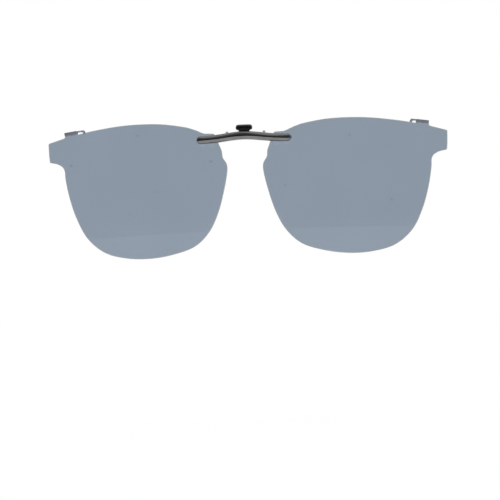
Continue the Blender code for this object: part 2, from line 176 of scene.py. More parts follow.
def smooth_run(points, steps):
    """Catmull-Rom curve through points, ends included."""
    pts = [Vector(p) for p in points]
    pts = [2 * pts[0] - pts[1]] + pts + [2 * pts[-1] - pts[-2]]
    run = []
    for a, b, c, d in zip(pts, pts[1:], pts[2:], pts[3:]):
        for i in range(steps):
            t = i / steps
            run.append(0.5 * (2 * b + (c - a) * t + (2 * a - 5 * b + 4 * c - d) * t * t
                              + (3 * b - a - 3 * c + d) * t ** 3))
    run.append(pts[-2])
    return run


def filleted(outline, radius, steps=7):
    """Closed outline with its real corners rounded by arcs, its smooth stretches left alone."""
    result = []
    count = len(outline)
    for i, point in enumerate(outline):
        before = outline[i - 1] - point
        after = outline[(i + 1) % count] - point
        turn = math.pi - before.angle(after)
        if turn < math.radians(14):
            result.append(point)
            continue
        reach = min(radius * math.tan(turn / 2), 0.45 * before.length, 0.45 * after.length)
        start = point + before.normalized() * reach
        end = point + after.normalized() * reach
        for k in range(steps + 1):
            t = k / steps
            result.append(start * (1 - t) ** 2 + point * 2 * t * (1 - t) + end * t * t)
    return result


def even_run(outline, pitch):
    """Closed outline with points added, so that none of its edges is longer than pitch."""
    result = []
    for i, point in enumerate(outline):
        after = outline[(i + 1) % len(outline)]
        parts = max(1, math.ceil((after - point).length / pitch))
        result += [point.lerp(after, k / parts) for k in range(parts)]
    return result


def inset(outline, distance):
    """Closed outline moved inwards by distance; the outline runs clockwise."""
    result = []
    count = len(outline)
    for i, point in enumerate(outline):
        along = (outline[(i + 1) % count] - outline[i - 1]).normalized()
        result.append(point + Vector((along.y, -along.x)) * distance)
    return result


def loft(rings, closed=False):
    """Solid through rings of points: flat ends, or a ring of rings."""
    bm = bmesh.new()
    rows = [[bm.verts.new(p) for p in ring] for ring in rings]
    count = len(rows[0])
    pairs = list(zip(rows, rows[1:]))
    if closed:
        pairs.append((rows[-1], rows[0]))
    for low, high in pairs:
        for i in range(count):
            j = (i + 1) % count
            bm.faces.new((low[i], low[j], high[j], high[i]))
    if not closed:
        bm.faces.new(rows[0])
        bm.faces.new(rows[-1])
    return bm


def prism_x(outline, x0, x1):
    return loft([[(x, y, z) for y, z in outline] for x in (x0, x1)])


def prism_y(outline, y0, y1):
    return loft([[(x, y, z) for x, z in outline] for y in (y0, y1)])


def turned(profile, centre, axis, sides=40):
    """Profile of (place, radius) stations turned about a line along axis 0, 1 or 2."""
    rings = []
    for place, radius in profile:
        ring = []
        for a, b in circle(radius, sides):
            point = list(centre)
            point[axis] = place
            point[(axis + 1) % 3] += a
            point[(axis + 2) % 3] += b
            ring.append(point)
        rings.append(ring)
    return loft(rings)


def rounded_rectangle(half_width, half_height, radius, steps=5):
    points = []
    for quarter, (sx, sy) in enumerate(((1, 1), (-1, 1), (-1, -1), (1, -1))):
        cx = sx * (half_width - radius)
        cy = sy * (half_height - radius)
        for i in range(steps + 1):
            angle = math.pi / 2 * (quarter + i / steps)
            points.append((cx + radius * math.cos(angle), cy + radius * math.sin(angle)))
    return points


def path_frames(path):
    """Points with two side vectors carried along a path without twist."""
    frames = []
    side = None
    for i, point in enumerate(path):
        along = (path[min(i + 1, len(path) - 1)] - path[max(i - 1, 0)]).normalized()
        if side is None:
            side = along.orthogonal().normalized()
        side = (side - along * side.dot(along)).normalized()
        frames.append((point, side, along.cross(side)))
    return frames


def swept(frames, radii, sides):
    return [[p + s * a + u * b for a, b in circle(r, sides)]
            for (p, s, u), r in zip(frames, radii)]


def dome(ring_end, along, radius, height):
    """Rings that close a round end with a flattened ball; ring_end is (point, side, up).
    A height of 1 is a half-ball."""
    point, side, up = ring_end
    rings = []
    for k in range(1, 6):
        angle = math.pi / 2 * k / 5.5
        top = point + along * radius * math.sin(angle) * height
        rings.append([top + side * a + up * b
                      for a, b in circle(radius * math.cos(angle), TUBE_SIDES)])
    return rings


def wire(path, radius):
    """Round wire along a path, both ends domed."""
    frames = path_frames(path)
    rings = swept(frames, [radius] * len(frames), TUBE_SIDES)
    first = (path[0] - path[1]).normalized()
    last = (path[-1] - path[-2]).normalized()
    rings = dome(frames[0], first, radius, 0.4)[::-1] + rings + dome(frames[-1], last, radius, 0.4)
    return loft(rings)


def sleeve(path, start):
    """Soft sleeve over a wire from path[start] on: a lip at its mouth and a rounded closed end."""
    frames = path_frames(path)[start:]
    count = len(frames)
    along = (path[-1] - path[-2]).normalized()
    outer_r = [SLEEVE_R - 0.06 * math.exp(-i / 1.2) for i in range(count)]
    inner = swept(frames, [SLEEVE_BORE_R] * count, TUBE_SIDES)
    inner.append([p + along * 0.18 for p in inner[-1]])
    outer = swept(frames, outer_r, TUBE_SIDES)
    shoulder = tuple(frames[-1])
    shoulder = (shoulder[0] + along * SLEEVE_END / 2, shoulder[1], shoulder[2])
    outer.append(swept([shoulder], [SLEEVE_R], TUBE_SIDES)[0])
    return loft(inner[::-1] + outer + dome(shoulder, along, SLEEVE_R, 0.6))


# ---------------------------------------------------------------- materials

LENS_SOLID = 0.42         # share of each face that doesn't let light through
LENS_PASSES = (0.862, 0.935, 1.0, 1.0)
DOTS_PER_MM = 0.042       # cells of the dust pattern along a millimetre
DOT_R = 0.24
DOT_SOLID = LENS_SOLID + 0.12


def new_material(name, metallic=0.0, alpha=1.0):
    mat = bpy.data.materials.new(name)
    mat.use_nodes = True
    tree = mat.node_tree
    shader = tree.nodes["Principled BSDF"]
    shader.inputs["Metallic"].default_value = metallic
    shader.inputs["Alpha"].default_value = alpha
    return mat, tree, shader


def place(tree, stretch=(1.0, 1.0, 1.0)):
    """Object coordinates in millimetres, stretched along the axes."""
    coords = tree.nodes.new("ShaderNodeTexCoord")
    mapping = tree.nodes.new("ShaderNodeMapping")
    mapping.inputs["Scale"].default_value = [s / MM for s in stretch]
    tree.links.new(coords.outputs["Object"], mapping.inputs["Vector"])
    return mapping.outputs["Vector"]


def noise(tree, where, scale, detail=3.0, roughness=0.5):
    node = tree.nodes.new("ShaderNodeTexNoise")
    node.inputs["Scale"].default_value = scale
    node.inputs["Detail"].default_value = detail
    node.inputs["Roughness"].default_value = roughness
    tree.links.new(where, node.inputs["Vector"])
    return node.outputs["Fac"]


def ramp(tree, value, stops):
    """Colour ramp; each stop is (place, grey or colour)."""
    node = tree.nodes.new("ShaderNodeValToRGB")
    points = node.color_ramp.elements
    while len(points) < len(stops):
        points.new(0.5)
    for point, (position, colour) in zip(points, stops):
        point.position = position
        if isinstance(colour, float):
            colour = (colour, colour, colour)
        point.color = (*colour, 1.0)
    tree.links.new(value, node.inputs["Fac"])
    return node.outputs["Color"]


def blend_colours(tree, factor, first, second):
    node = tree.nodes.new("ShaderNodeMix")
    node.data_type = "RGBA"
    tree.links.new(factor, node.inputs["Factor"])
    tree.links.new(first, node.inputs[6])
    tree.links.new(second, node.inputs[7])
    return node.outputs[2]


def bump(tree, shader, height, distance, strength=1.0):
    node = tree.nodes.new("ShaderNodeBump")
    node.inputs["Strength"].default_value = strength
    node.inputs["Distance"].default_value = distance * MM
    tree.links.new(height, node.inputs["Height"])
    tree.links.new(node.outputs["Normal"], shader.inputs["Normal"])


def metal(name, dark, light, smooth, rough, grain, depth):
    """Plated or drawn metal: a cloudy tone, with fine scratches in its gloss and surface."""
    mat, tree, shader = new_material(name, metallic=1.0)
    cloud = noise(tree, place(tree), 0.55, 4.0)
    scratches = noise(tree, place(tree, grain), 1.0, 5.0, 0.65)
    tree.links.new(ramp(tree, cloud, [(0.3, dark), (0.7, light)]), shader.inputs["Base Color"])
    tree.links.new(ramp(tree, scratches, [(0.3, smooth), (0.75, rough)]),
                   shader.inputs["Roughness"])
    bump(tree, shader, scratches, depth, 0.35)
    return mat


def rubber():
    """Moulded black rubber: a fine matt grain, shinier patches and a painted highlight, a paler
    grey on the faces that point up.
    """
    mat, tree, shader = new_material("black_rubber")
    grain = noise(tree, place(tree), 9.0, 4.0, 0.6)
    patches = noise(tree, place(tree), 0.8, 3.0)
    rubber_colour = ramp(tree, patches, [(0.35, (0.0015, 0.0015, 0.002)), (0.75, (0.004, 0.004, 0.0045))])
    # painted highlight: faces turned upwards get a paler grey, standing in for the overhead light's
    # sheen along the knob's top
    painted_highlight = ramp(tree, patches, [(0.30, (0.125, 0.128, 0.132)), (0.70, (0.180, 0.184, 0.190))])
    geometry = tree.nodes.new("ShaderNodeNewGeometry")
    split = tree.nodes.new("ShaderNodeSeparateXYZ")
    tree.links.new(geometry.outputs["Normal"], split.inputs["Vector"])
    # how far a face points up, which sets how much of the painted highlight it gets
    upward = ramp(tree, split.outputs["Z"], [(0.15, 0.0), (0.80, 1.0)])
    tree.links.new(blend_colours(tree, upward, rubber_colour, painted_highlight), shader.inputs["Base Color"])
    tree.links.new(ramp(tree, patches, [(0.3, 0.34), (0.7, 0.46)]), shader.inputs["Roughness"])
    shader.inputs["Specular IOR Level"].default_value = 0.3
    bump(tree, shader, grain, 0.008, 0.3)
    return mat


def silicone():
    """Clear soft sleeve, faintly milky and blue."""
    mat, tree, shader = new_material("clear_silicone", alpha=0.32)
    haze = noise(tree, place(tree), 0.9, 3.0)
    colour = ramp(tree, haze, [(0.3, (0.74, 0.79, 0.88)), (0.7, (0.84, 0.88, 0.95))])
    tree.links.new(colour, shader.inputs["Base Color"])
    tree.links.new(ramp(tree, haze, [(0.3, 0.18), (0.7, 0.34)]), shader.inputs["Roughness"])
    bump(tree, shader, haze, 0.03, 0.4)
    return mat


def nylon():
    mat, tree, shader = new_material("nylon")
    cloud = noise(tree, place(tree), 1.5, 3.0)
    colour = ramp(tree, cloud, [(0.3, (0.62, 0.62, 0.60)), (0.7, (0.74, 0.74, 0.71))])
    tree.links.new(colour, shader.inputs["Base Color"])
    tree.links.new(ramp(tree, cloud, [(0.3, 0.42), (0.7, 0.55)]), shader.inputs["Roughness"])
    bump(tree, shader, cloud, 0.02, 0.4)
    return mat


def flat_dots(tree, scale, radius):
    """Round dots over the X and Z plane, one or none in each cell: 1 inside a dot."""
    split = tree.nodes.new("ShaderNodeSeparateXYZ")
    tree.links.new(place(tree), split.inputs["Vector"])
    join = tree.nodes.new("ShaderNodeCombineXYZ")
    tree.links.new(split.outputs["X"], join.inputs["X"])
    tree.links.new(split.outputs["Z"], join.inputs["Y"])
    cells = tree.nodes.new("ShaderNodeTexVoronoi")
    cells.voronoi_dimensions = "2D"
    cells.inputs["Scale"].default_value = scale
    tree.links.new(join.outputs["Vector"], cells.inputs["Vector"])
    edge = radius * scale
    return ramp(tree, cells.outputs["Distance"], [(edge, 1.0), (edge * 1.7, 0.0)])


def tinted_lens():
    """Grey-blue lens: each face lets part of the light through; dust specks block a bit more."""
    mat, tree, shader = new_material("tinted_lens")
    cloud = noise(tree, place(tree), 0.045, 2.0)
    tint = ramp(tree, cloud, [(0.32, (0.034, 0.050, 0.122)), (0.68, (0.056, 0.080, 0.170))])
    tree.links.new(tint, shader.inputs["Base Color"])
    wiping = noise(tree, place(tree, (0.25, 1.0, 1.6)), 0.35, 3.0, 0.6)
    tree.links.new(ramp(tree, wiping, [(0.35, 0.015), (0.75, 0.04)]), shader.inputs["Roughness"])
    clear = tree.nodes.new("ShaderNodeBsdfTransparent")
    clear.inputs["Color"].default_value = LENS_PASSES
    solid = ramp(tree, flat_dots(tree, DOTS_PER_MM, DOT_R), [(0.0, LENS_SOLID), (1.0, DOT_SOLID)])
    mix = tree.nodes.new("ShaderNodeMixShader")
    tree.links.new(solid, mix.inputs["Fac"])
    tree.links.new(clear.outputs[0], mix.inputs[1])
    tree.links.new(shader.outputs[0], mix.inputs[2])
    tree.links.new(mix.outputs[0], tree.nodes["Material Output"].inputs["Surface"])
    return mat


def lens_edge():
    """Ground and polished rim of the lens, paler and slightly green."""
    mat, tree, shader = new_material("lens_edge", alpha=0.45)
    cloud = noise(tree, place(tree), 0.8, 3.0)
    colour = ramp(tree, cloud, [(0.3, (0.20, 0.25, 0.27)), (0.7, (0.28, 0.33, 0.34))])
    tree.links.new(colour, shader.inputs["Base Color"])
    tree.links.new(ramp(tree, cloud, [(0.3, 0.16), (0.7, 0.30)]), shader.inputs["Roughness"])
    return mat


MATERIALS = {
    "gunmetal": metal("gunmetal", 0.185, 0.23, 0.06, 0.13, (0.12, 3.0, 3.0), 0.004),
    "steel": metal("steel", 0.50, 0.60, 0.20, 0.34, (3.0, 0.4, 3.0), 0.006),
    "black_rubber": rubber(),
    "clear_silicone": silicone(),
    "nylon": nylon(),
    "tinted_lens": tinted_lens(),
}
LENS_EDGE = lens_edge()
SATIN_METAL = metal("satin_gunmetal", (0.52, 0.56, 0.62), (0.62, 0.66, 0.72), 0.46, 0.60,
                    (3.0, 3.0, 0.4), 0.006)


# ---------------------------------------------------------------- pieces

SHARP_ANGLE = math.radians(35)
BEVEL_ANGLE = math.radians(40)


def add_mesh(name, bm, mats, mirrored=False):
    """Object from a bmesh in millimetres, smooth but for edges sharper than SHARP_ANGLE."""
    if mirrored:
        bmesh.ops.scale(bm, vec=(-1, 1, 1), verts=bm.verts)
    bmesh.ops.scale(bm, vec=(MM, MM, MM), verts=bm.verts)
    bmesh.ops.recalc_face_normals(bm, faces=bm.faces)
    mesh = bpy.data.meshes.new(name)
    bm.to_mesh(mesh)
    bm.free()
    for mat in mats:
        mesh.materials.append(mat)
    mesh.shade_smooth()
    mesh.set_sharp_from_angle(angle=SHARP_ANGLE)
    item = bpy.data.objects.new(name, mesh)
    bpy.context.scene.collection.objects.link(item)
    return item


def settle(item, tools=()):
    """Works out an object's modifiers for good and removes its helper solids."""
    bpy.context.view_layer.update()
    evaluated = item.evaluated_get(bpy.context.evaluated_depsgraph_get())
    mesh = bpy.data.meshes.new_from_object(evaluated)
    item.modifiers.clear()
    item.data = mesh
    mesh.name = item.name
    for tool in tools:
        bpy.data.objects.remove(tool, do_unlink=True)


def boolean(item, tools, operation="DIFFERENCE"):
    for tool in tools:
        modifier = item.modifiers.new("shape", "BOOLEAN")
        modifier.operation = operation
        modifier.solver = "EXACT"
        modifier.object = tool
    settle(item, tools)


def soften(item, width, segments=3):
    """Rounds every edge sharper than BEVEL_ANGLE."""
    modifier = item.modifiers.new("round", "BEVEL")
    modifier.width = width * MM
    modifier.segments = segments
    modifier.limit_method = "ANGLE"
    modifier.angle_limit = BEVEL_ANGLE
    modifier.harden_normals = True
    modifier.use_clamp_overlap = True
    settle(item)


def own(item, body, node):
    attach(item, body)
    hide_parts(node)


def add_piece(node, bm, slot, body, mirrored=False, round_edges=0.0, cuts=(), joins=()):
    """Finished piece that stands for one CAD node, in one material."""
    item = add_mesh(f"{node}_finish", bm, [MATERIALS[slot]], mirrored)
    for solids, operation in ((joins, "UNION"), (cuts, "DIFFERENCE")):
        tools = [add_mesh("tool", solid, [MATERIALS[slot]], mirrored) for solid in solids]
        if tools:
            boolean(item, tools, operation)
    if round_edges:
        soften(item, round_edges)
    own(item, body, node)
    return item


# ---------------------------------------------------------------- lens

def lens_front(u, z):
    """Y of the lens's front surface, a tilted sphere."""
    bulge = (u - LENS_UC) ** 2 - (LENS_U0 - LENS_UC) ** 2 + (z - LENS_ZC) ** 2 - LENS_ZC ** 2
    return LENS_Y + math.tan(LENS_WRAP) * (u - LENS_U0) + bulge / (2.0 * LENS_RADIUS)


def lens_outline():
    """Outline of the right lens as (u, z), clockwise from the nasal tab."""
    brow = [(14.4, 1.9), (15.6, 2.35), (17.0, 3.0), (19.0, 3.75), (22.0, 4.57), (29.5, 5.7),
            (37.5, 5.95), (45.5, 5.53), (54.5, 4.29), (61.4, 2.95)]
    lug = [(65.95, 1.83), (71.95, 0.05), (72.3, -0.25), (72.2, -4.4), (72.0, -6.75)]
    edge = [(71.7, -7.05), (69.5, -7.45), (68.0, -8.1), (67.0, -8.95), (66.45, -10.4),
            (66.25, -13.4), (65.1, -19.6), (62.85, -27.1), (58.98, -34.66), (52.65, -40.0),
            (44.5, -42.2), (36.0, -42.5), (27.5, -41.25), (19.45, -38.55), (13.9, -33.4),
            (10.35, -26.6), (7.85, -18.4), (6.55, -12.2), (6.6, -9.3), (7.95, -6.9),
            (8.25, -4.6), (9.2, -2.1), (10.6, 1.3)]
    outline = [Vector((11.0, 1.75))] + smooth_run(brow, 8)
    outline += [Vector(p) for p in (TAB_NASAL, TAB_TEMPORAL, *lug)]
    return even_run(filleted(outline + smooth_run(edge, 8), CORNER_ROUND), 0.6)


def far_from(point, outline, distance):
    return all((point - other).length > distance for other in outline)


def lens_face(rim, holes):
    """Triangles over the inside of rim, less the holes: (points, triangles)."""
    points = list(rim)
    loops = [list(range(len(rim)))]
    for hole in holes:
        loops.append([len(points) + i for i in range(len(hole))])
        points += hole
    edges = [(loop[i - 1], loop[i]) for loop in loops for i in range(len(loop))]
    lows = [min(p[i] for p in rim) for i in (0, 1)]
    highs = [max(p[i] for p in rim) for i in (0, 1)]
    solid = len(points)
    fixed = points[:solid]
    for i in range(int((highs[0] - lows[0]) / LENS_GRID) + 1):
        for j in range(int((highs[1] - lows[1]) / LENS_GRID) + 1):
            shift = 0.5 * (j % 2)
            point = Vector((lows[0] + (i + shift) * LENS_GRID, lows[1] + j * LENS_GRID))
            if far_from(point, fixed, 0.7 * LENS_GRID):
                points.append(point)
    made = delaunay_2d_cdt(points, edges, [], 2, 1e-6)
    return made[0], made[2]


def add_lens(side, mirrored, body):
    """Thin curved plate with a rounded polished rim and two screw holes."""
    outline = lens_outline()
    holes = [[Vector((u + a, bar_line_z(u) + b)) for a, b in circle(SCREW_HOLE_R, 32)]
             for u in SCREW_U]
    points, triangles = lens_face(inset(outline, LENS_ROUND), holes)
    bm = bmesh.new()
    faces = []
    for offset in (0.0, LENS_THICK):
        verts = [bm.verts.new((p.x, lens_front(p.x, p.y) + offset, p.y)) for p in points]
        for triangle in triangles:
            bm.faces.new([verts[i] for i in triangle])
        faces.append(verts)
    count = len(outline)
    steps = 4
    rows = [faces[0][:count]]
    for near, way in ((0.0, 1.0), (LENS_THICK, -1.0)):
        turns = range(1, steps + 1) if way > 0 else range(steps, 0, -1)
        for k in turns:
            angle = math.pi / 2 * k / steps
            ring = inset(outline, LENS_ROUND * (1 - math.sin(angle)))
            depth = near + way * LENS_ROUND * (1 - math.cos(angle))
            rows.append([bm.verts.new((p.x, lens_front(p.x, p.y) + depth, p.y)) for p in ring])
    rows.append(faces[1][:count])
    for low, high in zip(rows, rows[1:]):
        for i in range(count):
            j = (i + 1) % count
            bm.faces.new((low[i], low[j], high[j], high[i])).material_index = 1
    start = count
    for hole in holes:
        ends = [verts[start:start + len(hole)] for verts in faces]
        for i in range(len(hole)):
            j = (i + 1) % len(hole)
            bm.faces.new((ends[0][i], ends[0][j], ends[1][j], ends[1][i])).material_index = 1
        start += len(hole)
    item = add_mesh(f"{side}_lens_finish", bm, [MATERIALS["tinted_lens"], LENS_EDGE], mirrored)
    modifier = item.modifiers.new("even_shading", "WEIGHTED_NORMAL")
    modifier.keep_sharp = True
    settle(item)
    own(item, body, f"{side}_lens")


# ---------------------------------------------------------------- bridge

def bar_line_z(x):
    return BAR_END_Z + BAR_RISE * math.exp(-(x / BAR_HUMP) ** 2)


def bar_section(half, depth, fullness):
    """Section of the bar as (forwards of its back, up): flat back, small rounds, curved front.
    A lower fullness makes the front flatter."""
    round_r = min(0.22, half * 0.4, depth * 0.2)
    points = [(round_r * (1 - math.cos(a)), half - round_r * (1 - math.sin(a)))
              for a in (math.pi / 2 * k / 5 for k in range(6))]
    nose = []
    for j in range(1, 40):
        angle = math.pi * j / 40
        nose.append((depth * (0.25 + 0.75 * math.sin(angle) ** fullness), half * math.cos(angle)))
    return points + nose + [(f, -z) for f, z in points[::-1]]


def add_bar():
    rings = []
    steps = 170
    for i in range(steps + 1):
        x = -BAR_HALF * math.cos(math.pi * i / steps)
        end = max(0.0, abs(x) - (BAR_HALF - BAR_END_ROUND)) / BAR_END_ROUND
        shrink = math.sqrt(max(0.006, 1.0 - end ** 2))
        middle = 1.0 - (x / BAR_HALF) ** 2
        half = 0.5 * shrink * (BAR_HEIGHT_END + (BAR_HEIGHT_MID - BAR_HEIGHT_END) * middle)
        depth = BAR_DEPTH * (0.35 + 0.65 * shrink)
        flat = math.exp(-(x / BAR_FLAT_MIDDLE) ** 2)
        flat += math.exp(-((abs(x) - BAR_HALF) / BAR_FLAT_END) ** 2)
        section = bar_section(half, depth, BAR_FULLNESS - BAR_FLATTER * flat)
        rings.append([(x, BAR_HIGH.y - forward, bar_line_z(x) + up) for forward, up in section])
    add_piece("bridge_bar", loft(rings), "gunmetal", "bridge")


def add_housing():
    block = rounded_rectangle((HOUSING_HIGH.y - HOUSING_LOW.y) / 2,
                              (HOUSING_HIGH.z - HOUSING_LOW.z) / 2, 0.25)
    block = [(ROD_Y + y, HOUSING_MID_Z + z) for y, z in block]
    bores = [turned([(HOUSING_LOW.x - 1, BORE_R), (HOUSING_HIGH.x + 1, BORE_R)],
                    (0, ROD_Y, HOUSING_MID_Z + way * BORE_PITCH / 2), 0) for way in (1, -1)]
    add_piece("spring_housing", prism_x(block, HOUSING_LOW.x, HOUSING_HIGH.x), "gunmetal",
              "bridge", cuts=bores, round_edges=0.05)
    for side, sign in (("left", -1), ("right", 1)):
        low, high = box(f"{side}_end_cap")
        bore = turned([(low.x - 1, ROD_R + RUNNING), (high.x + 1, ROD_R + RUNNING)],
                      (0, ROD_Y, rod_z(sign)), 0)
        add_piece(f"{side}_end_cap", prism_x(block, low.x, high.x), "gunmetal", "bridge",
                  cuts=[bore], round_edges=0.06)
        low, high = box(f"{side}_standoff")
        radius = (high.x - low.x) / 2
        middle = (low + high) / 2
        post = turned([(low.y, radius), (low.y + 0.15, radius), (low.y + 0.25, radius * 0.8),
                       (high.y - 0.25, radius * 0.8), (high.y - 0.15, radius), (high.y, radius)],
                      (middle.x, 0, middle.z), 1)
        add_piece(f"{side}_standoff", post, "steel", "bridge")


def add_knob():
    """Rubber mushroom with an oblong cap whose top is very slightly dished."""
    centre_y = (KNOB_LOW.y + KNOB_HIGH.y) / 2
    wide = ((KNOB_HIGH.x - KNOB_LOW.x) / 2, (KNOB_HIGH.y - KNOB_LOW.y) / 2)
    neck = (NECK_HALF_WIDTH, NECK_HALF_DEPTH)
    low, high = KNOB_LOW.z, KNOB_HIGH.z
    stations = [(low, -0.10), (low + 0.06, -0.02), (low + 0.35, 0.0), (low + 0.6, 0.10),
                (low + 0.82, 0.55), (low + 1.0, 0.86), (low + 1.3, 1.0), (low + 1.8, 1.0),
                (low + 2.2, 0.91), (low + 2.48, 0.70), (high - 0.03, 0.36), (high, 0.0)]
    rings = []
    for z, spread in smooth_run(stations, 5):
        size = [n + (w - n) * spread for n, w in zip(neck, wide)]
        rings.append([(size[0] * a, centre_y + size[1] * b, z) for a, b in circle(1.0, 72)])
    for share in (0.7, 0.4, 0.15):
        rings.append([(neck[0] * share * a, centre_y + neck[1] * share * b,
                       high - 0.05 * (1 - share))
                      for a, b in circle(1.0, 72)])
    foot_r = (STEM_HIGH.x - STEM_LOW.x) / 2
    foot_top = STEM_LOW.z + STEM_FOOT_HEIGHT
    step = foot_top + SOCKET_SLACK
    wide_r = foot_r + SOCKET_SLACK
    narrow_r = STEM_R + SOCKET_SLACK
    socket = turned([(low - 1, wide_r), (step, wide_r), (step, narrow_r),
                     (STEM_HIGH.z + 2 * SOCKET_SLACK, narrow_r)], (0, ROD_Y, 0), 2)
    add_piece("grip_knob", loft(rings), "black_rubber", "bridge", cuts=[socket])
    stem = turned([(STEM_LOW.z, foot_r), (foot_top - CHAMFER, foot_r),
                   (foot_top, foot_r - CHAMFER), (foot_top, STEM_R),
                   (STEM_HIGH.z - 0.15, STEM_R), (STEM_HIGH.z, STEM_R - 0.15)], (0, ROD_Y, 0), 2)
    add_piece("grip_stem", stem, "steel", "bridge")


# ---------------------------------------------------------------- slides

def rod_z(sign):
    """The right-hand rod runs in the upper bore, the left-hand one in the lower."""
    return HOUSING_MID_Z + sign * BORE_PITCH / 2


def add_rod(side, sign, body):
    head, end = ROD_LOW.x, ROD_HIGH.x
    neck = head + ROD_HEAD_LENGTH
    rod = turned([(head, ROD_HEAD_R - CHAMFER), (head + CHAMFER, ROD_HEAD_R),
                  (neck - CHAMFER, ROD_HEAD_R), (neck, ROD_HEAD_R - CHAMFER), (neck, ROD_R),
                  (end - CHAMFER, ROD_R), (end, ROD_R - CHAMFER)], (0, ROD_Y, rod_z(sign)), 0)
    add_piece(f"{side}_slide_rod", rod, "steel", body, sign < 0)


def add_spring(side, sign):
    """Coil round the rod, its first and last turns closed. The rod's head presses it against
    the end cap, so it shortens as its slide opens."""
    low, high = box("right_spring")
    start, end = low.x + SPRING_WIRE_R, high.x - SPRING_WIRE_R
    closed = 2.2 * SPRING_WIRE_R
    pitch = (end - start - 2 * closed) / (SPRING_TURNS - 2)
    path = []
    steps = 24 * SPRING_TURNS
    for i in range(steps + 1):
        turn = SPRING_TURNS * i / steps
        ends = min(turn, 1.0) + max(turn - (SPRING_TURNS - 1), 0.0)
        x = start + closed * ends + pitch * (turn - ends)
        angle = 2 * math.pi * turn
        path.append(Vector((x, ROD_Y + SPRING_R * math.cos(angle),
                            rod_z(sign) + SPRING_R * math.sin(angle))))
    frames = path_frames(path)
    coil = add_mesh(f"{side}_spring_finish", loft(swept(frames, [SPRING_WIRE_R] * len(frames), 8)),
                    [MATERIALS["steel"]], sign < 0)
    own(coil, "bridge", f"{side}_spring")
    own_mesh(coil)


def add_bracket(side, sign, body):
    xs = [BRACKET_IN + (BRACKET_OUT - BRACKET_IN) * i / 24 for i in range(25)]
    half = BRACKET_HEIGHT / 2
    outline = [(x, bar_line_z(x) + half) for x in xs]
    outline += [(BRACKET_OUT + half * math.sin(a), bar_line_z(BRACKET_OUT) + half * math.cos(a))
                for a in (math.pi * i / 16 for i in range(1, 16))]
    outline += [(x, bar_line_z(x) - half) for x in reversed(xs)]
    block = [(ROD_Y + y, HOUSING_MID_Z + z)
             for y, z in rounded_rectangle(BLOCK_DEPTH / 2, BLOCK_HEIGHT / 2, 0.2)]
    block_end = BRACKET_IN + BRACKET_BLOCK
    holes = [turned([(BRACKET_FRONT - 1, SCREW_HOLE_R), (BRACKET_FRONT + 2, SCREW_HOLE_R)],
                    (u, 0, bar_line_z(u)), 1) for u in SCREW_U]
    holes.append(turned([(BRACKET_IN - 1, ROD_R + RUNNING), (block_end + 1, ROD_R + RUNNING)],
                        (0, ROD_Y, rod_z(sign)), 0))
    add_piece(f"{side}_lens_bracket",
              prism_y(outline, BRACKET_FRONT, BRACKET_FRONT + BRACKET_THICK), "gunmetal", body,
              sign < 0, joins=[prism_x(block, BRACKET_IN - 0.2, block_end)],
              cuts=holes, round_edges=0.06)


def add_fasteners(side, mirrored, body):
    """Slotted screws from the front, each with a nylon washer and a chamfered nut behind."""
    for spot, u in zip(("inner", "outer"), SCREW_U):
        z = bar_line_z(u)
        low, high = box(f"right_{spot}_screw")
        head_r = (high.x - low.x) / 2
        under = low.y + SCREW_HEAD_THICK
        screw = turned([(low.y, head_r * 0.72), (low.y + 0.05, head_r * 0.86),
                        (low.y + 0.14, head_r * 0.97), (low.y + 0.2, head_r), (under, head_r),
                        (under, SCREW_R), (high.y - 0.08, SCREW_R), (high.y, SCREW_R - 0.08)],
                       (u, 0, z), 1)
        reach = head_r + 0.05
        slot_outline = [(u + a * reach, z + b * SCREW_SLOT_HALF)
                        for a, b in ((-1, -1), (1, -1), (1, 1), (-1, 1))]
        slot_cut = prism_y(slot_outline, low.y - 0.3, low.y + SCREW_SLOT_DEPTH)
        add_piece(f"{side}_{spot}_screw", screw, "steel", body, mirrored, cuts=[slot_cut])
        low, high = box(f"right_{spot}_washer")
        outer = (high.x - low.x) / 2
        profile = [(WASHER_BORE_R, low.y), (outer - 0.05, low.y), (outer, low.y + 0.05),
                   (outer, high.y - 0.05), (outer - 0.05, high.y), (WASHER_BORE_R, high.y)]
        add_piece(f"{side}_{spot}_washer", ring_solid(profile, u, z), "nylon", body, mirrored)
        low, high = box(f"right_{spot}_nut")
        corner = (high.x - low.x) / 2
        flat = [(u + corner * math.cos(a), z + corner * math.sin(a))
                for a in (math.pi / 3 * k for k in range(6))]
        bore = turned([(low.y - 1, NUT_BORE_R), (high.y + 1, NUT_BORE_R)], (u, 0, z), 1)
        add_piece(f"{side}_{spot}_nut", prism_y(flat, low.y, high.y), "steel", body, mirrored,
                  cuts=[bore], round_edges=0.04)


def ring_solid(profile, x, z, sides=40):
    """Closed profile of (radius, y) turned about a line along Y."""
    rings = [[(x + r * a, y, z + r * b) for r, y in profile] for a, b in circle(1.0, sides)]
    return loft(rings, closed=True)


# ---------------------------------------------------------------- hooks

def add_nasal_hook(side, mirrored, body):
    """Wire from the bracket's rear face, over the glasses' bridge and down behind it."""
    rear = BRACKET_FRONT + BRACKET_THICK + HOOK_GAP + WIRE_R
    route = [(10.4, rear, 0.45), (8.9, rear, 0.6), (8.1, rear + 0.12, 0.72),
             (7.3, rear + 0.42, 0.95), (6.78, 0.95, 1.45), (6.7, 1.8, 1.8), (6.7, 2.8, 1.65),
             (6.7, 3.6, 1.0), (6.7, 3.8, 0.1), (6.7, 3.8, -0.7)]
    path = smooth_run(route, ROUTE_STEPS)
    add_piece(f"{side}_nasal_hook", wire(path, WIRE_R), "steel", body, mirrored)
    add_piece(f"{side}_nasal_sleeve", sleeve(path, NASAL_SLEEVE_START), "clear_silicone", body,
              mirrored)


